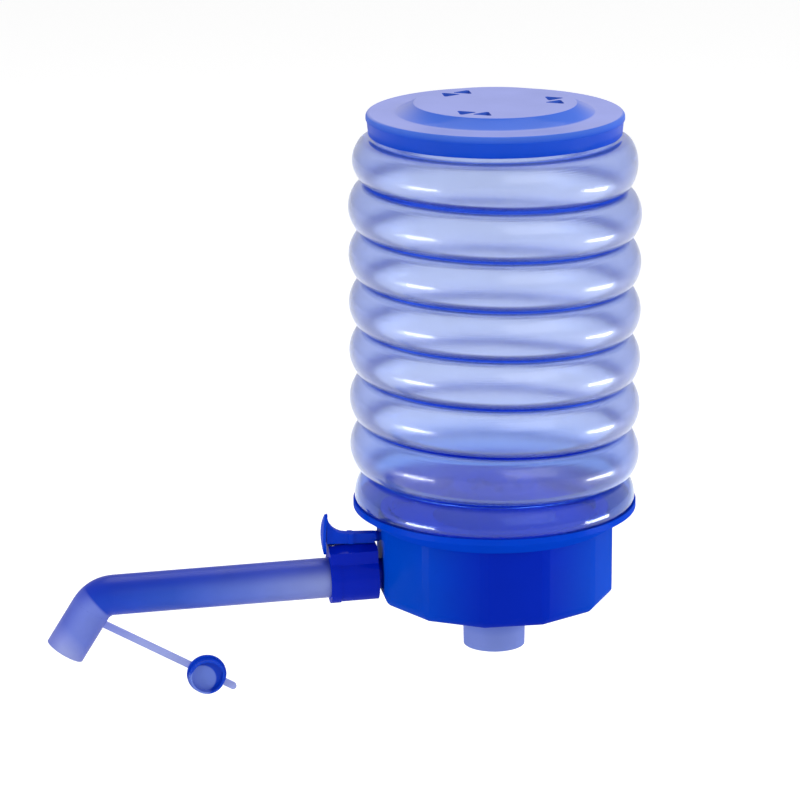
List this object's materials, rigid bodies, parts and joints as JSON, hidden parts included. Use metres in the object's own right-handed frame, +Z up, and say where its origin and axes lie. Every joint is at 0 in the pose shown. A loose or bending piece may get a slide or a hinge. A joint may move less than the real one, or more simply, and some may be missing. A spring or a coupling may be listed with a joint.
{
  "type": "manual water bottle pump",
  "caption": "Hand pump for a large water bottle: ringed bellows on a twelve-sided base that grips the neck, with a spout arm, vent lever and stopper.",
  "frame": {"origin": "on the pump's axis in the plane of the base's lower edge", "axes": "+Z up along the axis through the bellows, -X along the spout arm, +Y to the side that the stopper strap hangs on"},
  "size_m": [0.241, 0.1168, 0.2432],
  "materials": {
    "blue_plastic": "glossy, slightly milky moulded plastic",
    "cap_plastic": "glossy moulded plastic with a soft bloom on top",
    "bellows_plastic": "blown translucent plastic, glossy",
    "spout_plastic": "translucent tube, glossy",
    "stub_plastic": "moulded plastic, satin",
    "strap_plastic": "soft plastic, satin",
    "valve_rubber": "soft silicone, matt",
    "seal_rubber": "black rubber, matt",
    "steel": "drawn wire, bright"
  },
  "bodies": {
    "base": {"bellows": "bellows_plastic", "bellows_clamp_ring": "blue_plastic", "bellows_saucer": "blue_plastic", "discharge_valve_button": "blue_plastic", "base_drum": "blue_plastic", "base_gasket": "seal_rubber", "neck_seal": "valve_rubber", "neck_grip_ring": "valve_rubber", "water_duct": "blue_plastic", "duct_o_ring": "seal_rubber", "suction_stub": "stub_plastic", "spout_socket": "blue_plastic", "socket_o_ring": "seal_rubber", "spout_o_ring": "seal_rubber", "lever_pin": "steel", "lever_spring": "steel"},
    "head": {"top_cap": "cap_plastic", "cap_clamp_ring": "cap_plastic", "intake_valve_button": "cap_plastic"},
    "intake_disc": {"intake_valve_disc": "valve_rubber"},
    "discharge_disc": {"discharge_valve_disc": "valve_rubber"},
    "spout": {"spout_tube": "spout_plastic"},
    "stopper": {"stopper_strap": "strap_plastic", "stopper_plug": "blue_plastic"},
    "lever": {"vent_lever": "blue_plastic", "vent_pad": "valve_rubber"}
  },
  "joints": [
    {"name": "pump_stroke", "type": "slide", "parent": "base", "child": "head", "axis": [0, 0, -1], "range_m": [0, 0.08], "stiffness_N_per_m": 250, "springref_m": -0.004, "deforming": ["bellows"]},
    {"name": "intake_valve_lift", "type": "slide", "parent": "head", "child": "intake_disc", "axis": [0, 0, 1], "range_m": [0, 0.0011]},
    {"name": "discharge_valve_lift", "type": "slide", "parent": "base", "child": "discharge_disc", "axis": [0, 0, 1], "range_m": [0, 0.0011]},
    {"name": "lever_press", "type": "hinge", "parent": "base", "child": "lever", "pos_m": [-0.05944, 0, 0.02275], "axis": [0, -1, 0], "range_deg": [0, 6], "stiffness_Nm_per_rad": 0.05, "springref_deg": -5.73, "deforming": ["lever_spring"]},
    {"name": "spout_swivel", "type": "hinge", "parent": "base", "child": "spout", "pos_m": [-0.0468, 0, 0.0108], "axis": [-0.9996, 0, -0.0279], "continuous": true},
    {"name": "stopper_swing", "type": "hinge", "parent": "spout", "child": "stopper", "pos_m": [-0.16811, 0.01015, -0.00281], "axis": [0, 1, 0], "range_deg": [-10, 90]}
  ]
}
